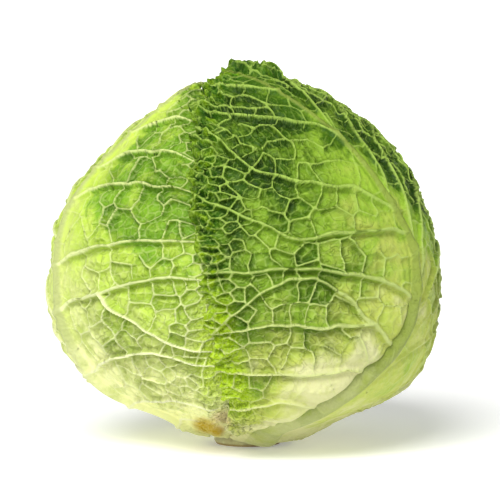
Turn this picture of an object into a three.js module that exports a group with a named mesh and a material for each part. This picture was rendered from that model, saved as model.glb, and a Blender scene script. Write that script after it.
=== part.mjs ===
// A head of savoy cabbage that stands on the cut face of its stem.
// Millimetres, +Z up. The origin is the centre of the cut face.
//
// Every leaf is a thin closed shell wrapped on the head. A point of a leaf is found in two steps:
// its place on the flat leaf (across, along), which is laid on the unit sphere as a map is laid on
// a globe, and its distance from the centre of the head, which carries the layers and the relief.
import * as THREE from 'three';
import { ConvexHull } from 'three/addons/math/ConvexHull.js';

// The head. Heights on it are angles above its middle, in degrees.
const CENTRE_HEIGHT = 80; // centre of the head above the cut face
const HEAD_RADIUS = 94.4; // from that centre to the outside of the outermost leaf
const BASE_FLATTENING = { from: -26, to: -60, by: 13 }; // how much nearer the underside is
const STEM_HOLLOW = { from: -66, to: -90, by: 5 }; // and how much more so round the stem
const CROWN_RISE = { from: 48, to: 86, by: 5 }; // how much further the crown is
const HEAD_LUMPS = 0.9; // the head is not quite round
const SLIM_BELOW = { from: -6, to: -30, by: 5.5 }; // its -X side is nearer below the middle
const SLIM_ABOVE = { from: 14, to: 42, by: 3.4 }; // and above it
const SLIM_SIDE = { from: 0, to: -0.45 }; // on the unit sphere's X

// The stem
const STEM_RADIUS = 17;
const STEM_BEVEL = 1.5;
const STEM_TOP = 20; // where the heart sits on it
const STEM_ANGLE = 12.2; // degrees: its side points at the centre of the head
const STEM_SIDES = 28;
const STEM_GAP = 0.4; // between it and the heart

// The leaves
const BLADE = 1.7; // thickness between the ribs
const LAYER = 5.2; // how far a leaf pushes in what lies under it
const LAYER_EDGE = 13; // over this distance outside its margin
const PRESSED = 0.2; // the share of its relief that a leaf keeps under another
const HIDDEN = 15; // this far inside another leaf's margin nothing is seen
const HALF_WIDTH = 128; // no leaf is wider
const HALF_LENGTH = 158; // or longer

// The raised net: cells that are sunk between the veins
const CELL = 9.4;
const CELL_HIDDEN = 24;
const CELL_ROOM = 4.2; // between the middle of a cell and a rib or the margin
const CORNER_ROOM = 3.5; // and the same for the corner of a cell
const LATERAL_ROOM = 4; // between two points on ribs
const LONGEST_SIDE = 60; // no triangle of a blade is longer
const TRIES = 5000; // places that are tried for a cell
const CELL_DEPTH = 3;
const CELL_DEPTH_INSIDE = 2; // the same cells bulge less on the inner face
const SMOOTH_HEEL = 0.8; // the share of that depth lost on the outer side of a hooked midrib

// The ribs. The midrib's half width and height are given as [along, size].
const MIDRIB_HALF = [[-130, 11], [-60, 7.5], [0, 4], [150, 2]];
const MIDRIB_HEIGHT = [[-130, 1.6], [-100, 3], [-50, 4], [0, 3], [150, 1.4]];
const CREASE_HEIGHT = 4.5; // the blade swells beside the midrib and leaves a crease there
const CREASE_REACH = 34;
const CREASE_TOP = { from: 15, to: -30 }; // it grows from here along the leaf
const CREASE_HEEL = { from: -118, to: -78 }; // and begins here
const LATERAL_HEIGHT = 1.7;
const LATERAL_HALF = 3.2;
const LATERAL_SHIFT = 8; // a mirrored rib starts this much nearer the heel
const RIB_STEP = 8;

// The waved margin
const FRILL_WIDTH = 16;
const FRILL_HEIGHT = 5;
const FRILL_LENGTH = 25; // from one wave to the next
const FRILL_HEEL = { from: -122, to: -104 }; // along the leaf, where it grows from nothing
const FRILL_UNEVEN = { by: 5, over: 37 }; // the waves drift by so much over such a distance
const SCALLOP = 1.3; // how far the waves move the outline itself
const MARGIN_RADIUS = 1.3 * HEAD_RADIUS; // of the circle on which the waves are spaced
const MARGIN_STEP = 5.03;
const MARGIN_ROOM = 3; // no other point is nearer to the margin

// The curled crest where the tip of the outermost leaf crosses the crown
const CREST_HEIGHT = 6;
const CREST_RADIUS = 16;
const CREST_TOP_RADIUS = 10; // it is level this far out
const CREST_MIDDLE = [1.5, (Math.PI / 2) * HEAD_RADIUS - 2.6]; // across and along the leaf

// Routes on the flat leaf, as [across, along] from its centre. Along is towards the tip.
const MIDRIB = [
  [0, -140], [2, -110], [6, -80], [11, -50], [14, -25], [13, 0], [9, 22], [5, 45], [6, 70], [6, 95],
  [2, 120], [0, 150],
];
const MIDRIB_HOOKED = [
  [-14, -138], [-36, -118], [-50, -98], [-53, -82], [-45, -58], [-32, -41], [-20, -29], [-12, -15],
  [-9, 5], [-10, 20], [-18, 43], [-23, 75], [-28, 105], [-28, 120], [-20, 150],
];
const LATERALS = [
  [[3, -108], [-20, -106], [-48, -106], [-72, -112]],
  [[7, -74], [-15, -66], [-36, -70], [-61, -78], [-88, -92]],
  [[11, -50], [-14, -43], [-32, -41], [-60, -51], [-99, -62]],
  [[13, -32], [-15, -21], [-47, -22], [-80, -25], [-112, -40]],
  [[-15, -21], [-47, -6], [-74, 2], [-91, -5], [-118, -25]],
  [[14, -20], [-14, -2], [-42, 4], [-80, 7], [-124, 6]],
  [[9, 20], [-25, 27], [-58, 25], [-95, 41], [-124, 65]],
  [[7, 34], [-26, 49], [-60, 56], [-81, 72], [-86, 100], [-92, 128]],
  [[6, 66], [-26, 91], [-50, 103], [-64, 116], [-72, 142]],
  [[5, 102], [-16, 124], [-38, 150]],
];
const LATERALS_HOOKED = [
  [[-53, -86], [-68, -82], [-88, -92]],
  [[-47, -62], [-68, -56], [-80, -63], [-100, -76]],
  [[-30, -40], [-46, -36], [-66, -40], [-86, -43], [-110, -46]],
  [[-37, -15], [-58, -16], [-78, -16], [-96, -17], [-120, -24]],
  [[-19, -28], [-37, -15], [-48, -4], [-59, 3], [-76, 9], [-88, 5], [-98, -2], [-116, -24]],
  [[-10, -6], [-22, 2], [-44, 8], [-72, 13], [-90, 14], [-124, 12]],
  [[-13, 26], [-40, 29], [-61, 29], [-74, 30], [-97, 46], [-116, 68]],
  [[-16, 36], [-34, 50], [-52, 55], [-67, 62], [-81, 72], [-84, 92], [-88, 124]],
  [[-23, 75], [-28, 88], [-42, 94], [-52, 102], [-68, 114], [-78, 134]],
  [[-28, 116], [-39, 132], [-50, 150]],
];
const LATERALS_WIDE = [
  [[-53, -86], [-30, -78], [0, -72], [40, -72], [80, -84]],
  [[-44, -56], [-22, -42], [4, -30], [44, -22], [100, -30]],
  [[-20, -29], [-2, -8], [20, 8], [52, 18], [116, 14]],
  [[-10, -6], [2, 22], [16, 42], [46, 58], [110, 66]],
  [[-10, 14], [-4, 40], [4, 64], [24, 84], [80, 108]],
  [[-16, 40], [-10, 66], [-2, 88], [14, 108], [48, 130]],
  [[-24, 78], [-18, 100], [-8, 120], [12, 144]],
];
const LATERALS_LEVEL = [
  [[3, -104], [40, -98], [76, -108]],
  [[8, -74], [40, -68], [72, -72], [100, -88]],
  [[12, -46], [34, -40], [59, -34], [84, -36], [110, -50]],
  [[48, -4], [66, -13], [86, -26], [104, -34], [120, -44]],
  [[14, -14], [26, -6], [48, -3], [75, 6], [100, 8], [124, 8]],
  [[12, 8], [28, 16], [58, 24], [94, 29], [124, 34]],
  [[7, 42], [25, 52], [54, 57], [82, 60], [118, 66]],
  [[5, 58], [24, 72], [49, 78], [70, 80], [106, 86]],
  [[6, 82], [28, 98], [56, 112], [76, 128]],
];

// How far each leaf reaches from its centre, as [degrees from the tip, distance].
const HEEL = [[150, 133], [160, 138], [166, 137], [170, 130], [175, 124], [180, 122]]; // clasps the stem
const REACH_OVER_CROWN = [
  [0, 156], [25, 151], [45, 139], [65, 129], [85, 119], [110, 116], [130, 118], ...HEEL,
];
const REACH_SHORT = [
  [0, 125], [25, 126], [45, 127], [65, 124], [85, 119], [110, 117], [130, 123], [140, 129], ...HEEL,
];
const REACH_INNER = [
  [0, 141], [25, 137], [45, 126], [65, 116], [85, 108], [110, 104], [130, 110], ...HEEL,
];

// From the outermost leaf inwards. Turn is in degrees round +Z, from -Y towards +X.
// Each leaf grows about 137.5 degrees back from the one outside it.
const LEAVES = [
  {
    name: 'leaf_1', turn: 60, reach: REACH_OVER_CROWN, midrib: MIDRIB_HOOKED, left: LATERALS_HOOKED,
    right: LATERALS_WIDE, crest: CREST_HEIGHT, frill: 1, colour: '#6f9a35', seed: 11,
  },
  {
    name: 'leaf_2', turn: -78, reach: REACH_SHORT, midrib: MIDRIB, left: LATERALS,
    right: LATERALS_LEVEL, crest: 0, frill: 0.45, colour: '#a3c15c', seed: 23,
  },
  {
    name: 'leaf_3', turn: 150, reach: REACH_SHORT, midrib: MIDRIB, left: LATERALS,
    crest: 0, frill: 0.6, colour: '#93b74e', seed: 37,
  },
  {
    name: 'leaf_4', turn: 8, reach: REACH_INNER, midrib: MIDRIB, left: LATERALS,
    crest: 0, frill: 1, colour: '#5f8f2e', seed: 41,
  },
  {
    name: 'leaf_5', turn: -130, reach: REACH_INNER, midrib: MIDRIB, left: LATERALS,
    crest: 0, frill: 1, colour: '#6b9834', seed: 59,
  },
];

// The heart: the tight inner leaves, which show at the crown only
const HEART_ROOM = 2.9; // between it and the leaves
const HEART_CELL = 9;
const HEART_CROWN = 48; // the crown is where it is higher than this, in degrees
const HEART_FOLDS = 5; // folds that turn round the crown
const HEART_FOLD_HEIGHT = 2;
const HEART_FOLD_TWIST = 9; // radians from the middle of the head to the crown
const HEART_FOLDED = { from: 40, to: 62 }; // the folds rise between these heights, in degrees
const HEART_SEED = 71;

const rad = THREE.MathUtils.degToRad;
const ease = (x, from, to) => THREE.MathUtils.smoothstep((x - from) / (to - from), 0, 1);
const over = (x, range) => ease(x, range.from, range.to);
const heightOn = (dir) => THREE.MathUtils.radToDeg(Math.asin(THREE.MathUtils.clamp(dir.z, -1, 1)));

function randomFrom(seed) {
  let state = seed;
  return () => {
    state = (state * 1664525 + 1013904223) % 4294967296;
    return state / 4294967296;
  };
}

// A smooth curve through [x, y] pairs, read at x.
function readCurve(pairs, x) {
  const last = pairs.length - 1;
  let i = 0;
  while (i < last - 1 && x > pairs[i + 1][0]) i += 1;
  const slope = (k) => {
    const a = pairs[Math.max(k - 1, 0)];
    const b = pairs[Math.min(k + 1, last)];
    return (b[1] - a[1]) / (b[0] - a[0]);
  };
  const [x0, y0] = pairs[i];
  const [x1, y1] = pairs[i + 1];
  const h = x1 - x0;
  const t = THREE.MathUtils.clamp((x - x0) / h, 0, 1);
  const [t2, t3] = [t * t, t * t * t];
  return (
    y0 * (2 * t3 - 3 * t2 + 1) + h * slope(i) * (t3 - 2 * t2 + t)
    + y1 * (3 * t2 - 2 * t3) + h * slope(i + 1) * (t3 - t2)
  );
}

// The flat leaf laid on the unit sphere, and back.
function onSphere(leaf, u, v) {
  const away = Math.hypot(u, v);
  const angle = away / HEAD_RADIUS;
  const k = away > 0 ? Math.sin(angle) / away : 1 / HEAD_RADIUS;
  const turn = rad(leaf.turn);
  const ahead = Math.cos(angle);
  return new THREE.Vector3(
    ahead * Math.sin(turn) + k * u * Math.cos(turn),
    -ahead * Math.cos(turn) + k * u * Math.sin(turn),
    k * v,
  );
}

function onLeaf(leaf, dir) {
  const turn = rad(leaf.turn);
  const ahead = dir.x * Math.sin(turn) - dir.y * Math.cos(turn);
  const across = dir.x * Math.cos(turn) + dir.y * Math.sin(turn);
  const angle = Math.acos(THREE.MathUtils.clamp(ahead, -1, 1));
  const sine = Math.hypot(across, dir.z);
  const k = sine > 0 ? (angle * HEAD_RADIUS) / sine : HEAD_RADIUS;
  return [across * k, dir.z * k];
}

// Distance inside the margin, before it is waved. It is negative outside.
function insideMargin(leaf, u, v) {
  const fromTip = THREE.MathUtils.radToDeg(Math.abs(Math.atan2(u, v)));
  return readCurve(leaf.reach, fromTip) - Math.hypot(u, v);
}

// One wave after another along the margin, not quite even. It runs from -1 to 1.
function marginWave(leaf, u, v) {
  const along = Math.atan2(u, v) * MARGIN_RADIUS;
  const uneven = along + FRILL_UNEVEN.by * Math.sin(along / FRILL_UNEVEN.over + leaf.seed);
  return Math.sin((2 * Math.PI * uneven) / FRILL_LENGTH + leaf.seed);
}

function insideWavedMargin(leaf, u, v) {
  return insideMargin(leaf, u, v) + SCALLOP * marginWave(leaf, u, v);
}

// Distance from the centre of the head to the outside of the outermost leaf.
function headRadius(dir) {
  const up = heightOn(dir);
  const round = Math.atan2(dir.x, -dir.y);
  const level = 1 - dir.z * dir.z;
  const lumps = Math.sin(3 * round + 0.6) + Math.sin(5 * round + 3 * dir.z + 2);
  const lower = BASE_FLATTENING.by * over(up, BASE_FLATTENING) + STEM_HOLLOW.by * over(up, STEM_HOLLOW);
  const slim = SLIM_BELOW.by * over(up, SLIM_BELOW) + SLIM_ABOVE.by * over(up, SLIM_ABOVE);
  const outside = HEAD_RADIUS + CROWN_RISE.by * over(up, CROWN_RISE) + HEAD_LUMPS * lumps * level;
  return outside - lower - slim * over(dir.x, SLIM_SIDE);
}

// How far each leaf outside number `index` covers a point, from 0 to 1.
function covers(index, dir) {
  return LEAVES.slice(0, index).map(
    (leaf) => ease(insideMargin(leaf, ...onLeaf(leaf, dir)), -LAYER_EDGE, -SCALLOP),
  );
}

const pushedIn = (index, dir) => LAYER * covers(index, dir).reduce((sum, cover) => sum + cover, 0);
const reliefLeft = (index, dir) => 1 - (1 - PRESSED) * Math.max(0, ...covers(index, dir));

function isHidden(index, dir) {
  return LEAVES.slice(0, index).some((leaf) => insideMargin(leaf, ...onLeaf(leaf, dir)) > HIDDEN);
}

const midribAcross = (leaf, v) => readCurve(leaf.midrib.map(([u, along]) => [along, u]), v);
const midribHalf = (v) => readCurve(MIDRIB_HALF, v);

// Distance from the midrib, measured square to it. It is negative on the left half.
function fromMidrib(leaf, u, v) {
  const slope = (midribAcross(leaf, v + 1) - midribAcross(leaf, v - 1)) / 2;
  return (u - midribAcross(leaf, v)) / Math.hypot(1, slope);
}

function pointsOn(route, step) {
  const curve = new THREE.SplineCurve(route.map(([u, v]) => new THREE.Vector2(u, v)));
  return curve.getSpacedPoints(Math.round(curve.getLength() / step)).map((p) => [p.x, p.y]);
}

// A leaf with no routes of its own for the right half has the left ones mirrored in its midrib.
function lateralRoutes(leaf) {
  const mirrored = ([u, v]) => [2 * midribAcross(leaf, v) - u, v - LATERAL_SHIFT];
  const right = leaf.right ?? leaf.left.map((route) => route.map(mirrored));
  return [...leaf.left, ...right];
}

// Height over the layer: the ribs, which only the outer face has, and the waves, which both have.
function ribs(leaf, u, v, lateralPoints) {
  const off = Math.abs(fromMidrib(leaf, u, v)) / midribHalf(v);
  const midrib = off < 1 ? readCurve(MIDRIB_HEIGHT, v) * (1 - off * off) : 0;
  let near = Infinity;
  for (const [a, b] of lateralPoints) near = Math.min(near, Math.hypot(a - u, b - v));
  const lateral = near < LATERAL_HALF ? LATERAL_HEIGHT * (1 - near / LATERAL_HALF) : 0;
  return Math.max(midrib, lateral);
}

function waves(leaf, u, v) {
  const wave = marginWave(leaf, u, v);
  const atMargin = ease(insideMargin(leaf, u, v), FRILL_WIDTH, 0);
  const frill = leaf.frill * FRILL_HEIGHT * atMargin * (0.5 + 0.5 * wave) * over(v, FRILL_HEEL);
  const beside = (-fromMidrib(leaf, u, v) - midribHalf(v)) / CREASE_REACH;
  const swell = beside > 0 && beside < 1 ? Math.sin(Math.PI * Math.sqrt(beside)) : 0;
  const crease = CREASE_HEIGHT * swell * over(v, CREASE_TOP) * over(v, CREASE_HEEL);
  const fromCrest = Math.hypot(u - CREST_MIDDLE[0], v - CREST_MIDDLE[1]);
  const crest = leaf.crest * ease(fromCrest, CREST_RADIUS, CREST_TOP_RADIUS) * (0.8 + 0.2 * wave);
  return frill + crease + crest;
}

// How deep the cells of the net are there, from 0 to 1. A fleshy heel is nearly smooth.
function netDepth(leaf, u, v) {
  if (leaf.midrib !== MIDRIB_HOOKED) return 1;
  return 1 - SMOOTH_HEEL * ease(fromMidrib(leaf, u, v), -2, 6) * ease(v, 10, -50);
}

// Spreads points over a leaf so that none is nearer to another than `gap` allows.
function scatter(random, tries, draw, gap) {
  const kept = [];
  for (let i = 0; i < tries; i += 1) {
    const point = draw(random);
    if (point && kept.every((other) => other.dir.distanceTo(point.dir) * HEAD_RADIUS > gap(point))) {
      kept.push(point);
    }
  }
  return kept;
}

// The convex hull of points on a sphere joins each to its neighbours, and the normal of each face
// is the corner where three cells meet.
function hullFaces(dirs) {
  const numbers = new Map(dirs.map((dir, i) => [dir, i]));
  return new ConvexHull().setFromPoints(dirs).faces.map((face) => ({
    corner: face.normal.clone().normalize(),
    indices: [0, 1, 2].map((k) => numbers.get(face.getEdge(k).head().point)),
  }));
}

function longestSide(dirs, indices) {
  const [a, b, c] = indices.map((i) => dirs[i]);
  return Math.max(a.distanceTo(b), b.distanceTo(c), c.distanceTo(a)) * HEAD_RADIUS;
}

// All the points of one leaf, each with its place on the leaf and whether it is sunk, 1 or 0.
function leafPoints(leaf, index) {
  const random = randomFrom(leaf.seed);
  const at = (u, v, sunk) => ({ u, v, sunk, dir: onSphere(leaf, u, v) });
  const points = [];
  const count = Math.round((2 * Math.PI * MARGIN_RADIUS) / MARGIN_STEP);
  for (let i = 0; i < count; i += 1) {
    const angle = (i / count) * 2 * Math.PI - Math.PI;
    const [su, sv] = [Math.sin(angle), Math.cos(angle)];
    const reach = insideWavedMargin(leaf, su, sv) + 1;
    points.push({ ...at(su * reach, sv * reach, 0), margin: true });
  }
  const clear = (u, v, room) => points.every((p) => Math.hypot(p.u - u, p.v - v) > room);
  const inner = (u, v) => insideMargin(leaf, u, v) > SCALLOP + MARGIN_ROOM;
  for (const [u, v] of pointsOn(leaf.midrib, RIB_STEP)) {
    for (const side of [0, -1, 1]) {
      const across = u + side * midribHalf(v);
      if (inner(across, v)) points.push(at(across, v, 0));
    }
  }
  const laterals = lateralRoutes(leaf).flatMap((route) => pointsOn(route, RIB_STEP));
  for (const [u, v] of laterals) {
    if (inner(u, v) && clear(u, v, LATERAL_ROOM) && !isHidden(index, onSphere(leaf, u, v))) {
      points.push(at(u, v, 0));
    }
  }
  const draw = () => {
    const [u, v] = [(random() * 2 - 1) * HALF_WIDTH, (random() * 2 - 1) * HALF_LENGTH];
    return inner(u, v) && clear(u, v, CELL_ROOM) ? at(u, v, 1) : null;
  };
  const cells = scatter(random, TRIES, draw, (p) => (isHidden(index, p.dir) ? CELL_HIDDEN : CELL));
  const dirs = cells.map((cell) => cell.dir);
  const corners = [];
  for (const { corner, indices } of hullFaces(dirs)) {
    const [u, v] = onLeaf(leaf, corner);
    if (inner(u, v) && clear(u, v, CORNER_ROOM) && longestSide(dirs, indices) < 3 * CELL) {
      corners.push(at(u, v, 0));
    }
  }
  return [...points, ...cells, ...corners];
}

const sides = ([a, b, c]) => [[a, b], [b, c], [c, a]];

// The triangles that hang together by their sides. Loose ones past the margin are left out.
function largestPiece(triangles) {
  const owner = new Map();
  triangles.forEach((triangle, i) => sides(triangle).forEach((side) => owner.set(`${side}`, i)));
  const seen = new Set();
  let largest = [];
  triangles.forEach((_, start) => {
    if (seen.has(start)) return;
    seen.add(start);
    const piece = [start];
    for (const i of piece) {
      for (const [from, to] of sides(triangles[i])) {
        const next = owner.get(`${to},${from}`);
        if (next !== undefined && !seen.has(next)) {
          seen.add(next);
          piece.push(next);
        }
      }
    }
    if (piece.length > largest.length) largest = piece;
  });
  return largest.map((i) => triangles[i]);
}

// A point where the margin touches itself would join two parts of the rim. The triangles at the
// margin there are taken away until no such point is left.
function withoutPinches(triangles) {
  const all = new Set(triangles.flatMap((triangle) => sides(triangle).map(String)));
  const atRim = (triangle) => sides(triangle).filter(([from, to]) => !all.has(`${to},${from}`));
  const starts = triangles.flatMap((triangle) => atRim(triangle).map(([from]) => from));
  const pinched = new Set(starts.filter((from, i) => starts.indexOf(from) !== i));
  if (pinched.size === 0) return triangles;
  const kept = triangles.filter(
    (triangle) => !(atRim(triangle).length > 0 && triangle.some((i) => pinched.has(i))),
  );
  return withoutPinches(largestPiece(kept));
}

// The outer and the inner face share one set of triangles, and a rim closes them.
function shell(triangles, outer, inner) {
  const count = outer.length;
  const edges = new Map();
  const index = [];
  for (const triangle of triangles) {
    const [a, b, c] = triangle;
    index.push(a, b, c, c + count, b + count, a + count);
    for (const side of sides(triangle)) edges.set(`${side}`, side);
  }
  for (const [from, to] of edges.values()) {
    if (!edges.has(`${to},${from}`)) {
      index.push(from, from + count, to, to, from + count, to + count);
    }
  }
  const geometry = new THREE.BufferGeometry();
  const places = [...outer, ...inner].flatMap((p) => [p.x, p.y, p.z + CENTRE_HEIGHT]);
  geometry.setAttribute('position', new THREE.Float32BufferAttribute(places, 3));
  geometry.setIndex(index);
  geometry.computeVertexNormals();
  return geometry;
}

function leafGeometry(leaf, index) {
  const points = leafPoints(leaf, index);
  const dirs = points.map((point) => point.dir);
  const onBlade = ({ indices }) => {
    const middle = indices.reduce((sum, i) => sum.add(dirs[i]), new THREE.Vector3()).normalize();
    const atMargin = indices.every((i) => points[i].margin);
    const inside = insideWavedMargin(leaf, ...onLeaf(leaf, middle));
    return longestSide(dirs, indices) < LONGEST_SIDE && inside > (atMargin ? 0 : -FRILL_WIDTH);
  };
  const faces = hullFaces(dirs).filter(onBlade).map(({ indices }) => indices);
  const triangles = withoutPinches(largestPiece(faces));
  const laterals = lateralRoutes(leaf).flatMap((route) => pointsOn(route, RIB_STEP / 2));
  const outer = [];
  const inner = [];
  for (const { u, v, sunk, dir } of points) {
    const left = reliefLeft(index, dir);
    const layer = headRadius(dir) - pushedIn(index, dir) + left * waves(leaf, u, v);
    const cell = sunk * netDepth(leaf, u, v);
    const top = layer + left * (ribs(leaf, u, v, laterals) - CELL_DEPTH * cell);
    outer.push(dir.clone().multiplyScalar(top));
    inner.push(dir.clone().multiplyScalar(layer - BLADE - left * CELL_DEPTH_INSIDE * cell));
  }
  return shell(triangles, outer, inner);
}

// One closed solid: it follows the innermost leaf and is folded at the crown.
function heartGeometry() {
  const random = randomFrom(HEART_SEED);
  const draw = () => {
    const z = random() * 2 - 1;
    const round = random() * 2 * Math.PI;
    const level = Math.sqrt(1 - z * z);
    return { dir: new THREE.Vector3(level * Math.cos(round), level * Math.sin(round), z) };
  };
  const gap = ({ dir }) => (heightOn(dir) > HEART_CROWN ? HEART_CELL : CELL_HIDDEN);
  const cells = scatter(random, TRIES, draw, gap).map((cell) => cell.dir);
  const places = cells.map((dir) => {
    const turn = HEART_FOLDS * Math.atan2(dir.y, dir.x) + HEART_FOLD_TWIST * dir.z;
    const fold = HEART_FOLD_HEIGHT * Math.sin(turn) * over(heightOn(dir), HEART_FOLDED);
    const reach = headRadius(dir) - pushedIn(LEAVES.length, dir) - HEART_ROOM + fold;
    const floor = dir.z < 0 ? (CENTRE_HEIGHT - STEM_TOP - STEM_GAP) / -dir.z : Infinity;
    return dir.clone().multiplyScalar(Math.min(reach, floor));
  });
  const geometry = new THREE.BufferGeometry();
  const flat = places.flatMap((p) => [p.x, p.y, p.z + CENTRE_HEIGHT]);
  geometry.setAttribute('position', new THREE.Float32BufferAttribute(flat, 3));
  geometry.setIndex(hullFaces(cells).flatMap(({ indices }) => indices));
  geometry.computeVertexNormals();
  return geometry;
}

function stemGeometry() {
  const top = STEM_RADIUS - STEM_TOP * Math.tan(rad(STEM_ANGLE));
  const bevelled = STEM_RADIUS - STEM_BEVEL * Math.tan(rad(STEM_ANGLE));
  const face = STEM_RADIUS - STEM_BEVEL;
  const profile = [[0, 0], [face, 0], [bevelled, STEM_BEVEL], [top, STEM_TOP], [0, STEM_TOP]];
  const outline = profile.map(([x, y]) => new THREE.Vector2(x, y));
  return new THREE.LatheGeometry(outline, STEM_SIDES).rotateX(Math.PI / 2);
}

const group = new THREE.Group();

function addMesh(name, geometry, colour, roughness) {
  const material = new THREE.MeshStandardMaterial({ color: colour, roughness, metalness: 0 });
  const mesh = new THREE.Mesh(geometry, material);
  mesh.name = name;
  group.add(mesh);
}

LEAVES.forEach((leaf, index) => addMesh(leaf.name, leafGeometry(leaf, index), leaf.colour, 0.55));
addMesh('heart', heartGeometry(), '#b7cf7a', 0.55);
addMesh('stem', stemGeometry(), '#cfcfa2', 0.8);

export default group;
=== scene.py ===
"""Dresses a head of savoy cabbage: five crinkled wrapper leaves, the heart and the cut stem."""
import math
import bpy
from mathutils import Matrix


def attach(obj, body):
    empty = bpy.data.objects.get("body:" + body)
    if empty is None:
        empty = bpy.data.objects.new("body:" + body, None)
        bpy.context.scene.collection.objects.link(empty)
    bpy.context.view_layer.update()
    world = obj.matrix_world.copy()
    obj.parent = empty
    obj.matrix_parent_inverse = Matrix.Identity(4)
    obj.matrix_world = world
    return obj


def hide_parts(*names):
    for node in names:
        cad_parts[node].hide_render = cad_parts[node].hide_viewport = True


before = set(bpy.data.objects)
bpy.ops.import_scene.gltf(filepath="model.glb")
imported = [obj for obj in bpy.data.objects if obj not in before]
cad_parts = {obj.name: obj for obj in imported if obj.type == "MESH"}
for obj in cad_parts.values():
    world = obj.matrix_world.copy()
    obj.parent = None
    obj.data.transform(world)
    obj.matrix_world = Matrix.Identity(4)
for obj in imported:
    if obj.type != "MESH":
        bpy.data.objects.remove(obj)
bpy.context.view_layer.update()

from types import SimpleNamespace

import bpy
import numpy as np
from bpy.props import FloatProperty, FloatVectorProperty, PointerProperty
from mathutils import Vector, kdtree

bl_info = {
    "name": "Savoy Cabbage",
    "version": (1, 0, 0),
    "blender": (4, 5, 0),
    "location": "View3D > Sidebar > Cabbage",
    "description": "Grows the crinkled leaves, heart and stem of a savoy cabbage on its frame",
    "category": "Add Mesh",
}

MM = 0.001

# The head, in millimetres, as in the frame
CENTRE_HEIGHT = 80.0
HEAD_RADIUS = 94.4
BASE_FLATTENING = 13.0
STEM_HOLLOW = 5.0
CROWN_RISE = 5.0
HEAD_LUMPS = 0.9
SLIM_BELOW = 5.5  # how much slimmer the -X side is, below and above its middle
SLIM_ABOVE = 3.4
HEART_ROOM = 2.9  # between the innermost leaves and the heart

STEM_RADIUS = 17.0
STEM_BEVEL = 1.5
STEM_TOP = 20.0
STEM_ANGLE = math.radians(12.2)

# The leaves as layers on the head
LAYER = 5.2
LAYER_EDGE = 13.0  # how far beyond a margin the next leaf starts to sink under it
PRESSED = 0.2  # share of the relief that is left where another leaf lies on it
DEEPEST = 3.6  # no cell is sunk so far that it meets the leaf below
LOWEST = 0.8  # above the ground
LEAF_WIDTH = 260.0

# The margin and the crest, where the outermost leaf's tip curls up over the crown
MARGIN_ROUND = 1.3  # the margin's mean distance from the leaf's centre, in head radii
SCALLOP = 1.3
WAVE_LENGTH = 25.0
SHORT_WAVE_LENGTH = 9.7
NOTCH_LENGTH = 7.3
FOLD_LENGTH = 5.8
CREST_RADIUS = 16.0
CREST_TOP_RADIUS = 10.0
CREST_MIDDLE = (1.5, HEAD_RADIUS * math.pi / 2 - 2.6)
CREST_LEVEL = 186.2  # what stands higher than this is pressed down to it
CREST_PRESS = 0.7  # by this share
CREST_FALL = 0.6  # this level falls so steeply from the next x on, by the next height at most
CREST_FALL_START = 7.0
CREST_FALL_MOST = 5.0

# The veins of the net, and the finest cells between them
VEIN_FOOT = 1.6
VEIN_TOP = 0.1
FINE_CELL = 4.8
FINE_CELL_AT_MARGIN = 3.4

# Sizes along the leaf, as [along, size]
MIDRIB_HALF = [[-130, 11], [-60, 7.5], [0, 3.3], [50, 1.8], [100, 1.2], [150, 0.9]]
MIDRIB_HEIGHT = [[-130, 1.6], [-100, 3], [-50, 4], [0, 2.8], [60, 1.8], [150, 0.9]]

# Routes on the flat leaf, as [across, along] from its centre. Along is towards the tip.
MIDRIB = [
    [0, -140], [2, -110], [6, -80], [11, -50], [14, -25], [13, 0], [9, 22], [5, 45], [6, 70], [6, 95],
    [2, 120], [0, 150],
]
MIDRIB_HOOKED = [
    [-14, -138], [-36, -118], [-50, -98], [-53, -82], [-45, -58], [-32, -41], [-20, -29], [-12, -15],
    [-9, 5], [-10, 20], [-18, 43], [-23, 75], [-28, 105], [-28, 120], [-20, 150],
]
LATERALS = [
    [[3, -108], [-20, -106], [-48, -106], [-72, -112]],
    [[7, -74], [-15, -66], [-36, -70], [-61, -78], [-88, -92]],
    [[11, -50], [-14, -43], [-32, -41], [-60, -51], [-99, -62]],
    [[13, -32], [-15, -21], [-47, -22], [-80, -25], [-112, -40]],
    [[-15, -21], [-47, -6], [-74, 2], [-91, -5], [-118, -25]],
    [[14, -20], [-14, -2], [-42, 4], [-80, 7], [-124, 6]],
    [[9, 20], [-25, 27], [-58, 25], [-95, 41], [-124, 65]],
    [[7, 34], [-26, 49], [-60, 56], [-81, 72], [-86, 100], [-92, 128]],
    [[6, 66], [-26, 91], [-50, 103], [-64, 116], [-72, 142]],
    [[5, 102], [-16, 124], [-38, 150]],
]
LATERALS_HOOKED = [
    [[-53, -86], [-68, -82], [-88, -92]],
    [[-47, -62], [-68, -56], [-80, -63], [-100, -76]],
    [[-30, -40], [-46, -36], [-66, -40], [-86, -43], [-110, -46]],
    [[-37, -15], [-58, -16], [-78, -16], [-96, -17], [-120, -24]],
    [[-19, -28], [-37, -15], [-48, -4], [-59, 3], [-76, 9], [-88, 5], [-98, -2], [-116, -24]],
    [[-10, -6], [-22, 2], [-44, 8], [-72, 13], [-90, 14], [-124, 12]],
    [[-13, 26], [-40, 29], [-61, 29], [-74, 30], [-97, 46], [-116, 68]],
    [[-16, 36], [-34, 50], [-52, 55], [-67, 62], [-81, 72], [-84, 92], [-88, 124]],
    [[-23, 75], [-28, 88], [-42, 94], [-52, 102], [-68, 114], [-78, 134]],
    [[-28, 116], [-39, 132], [-50, 150]],
]
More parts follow.
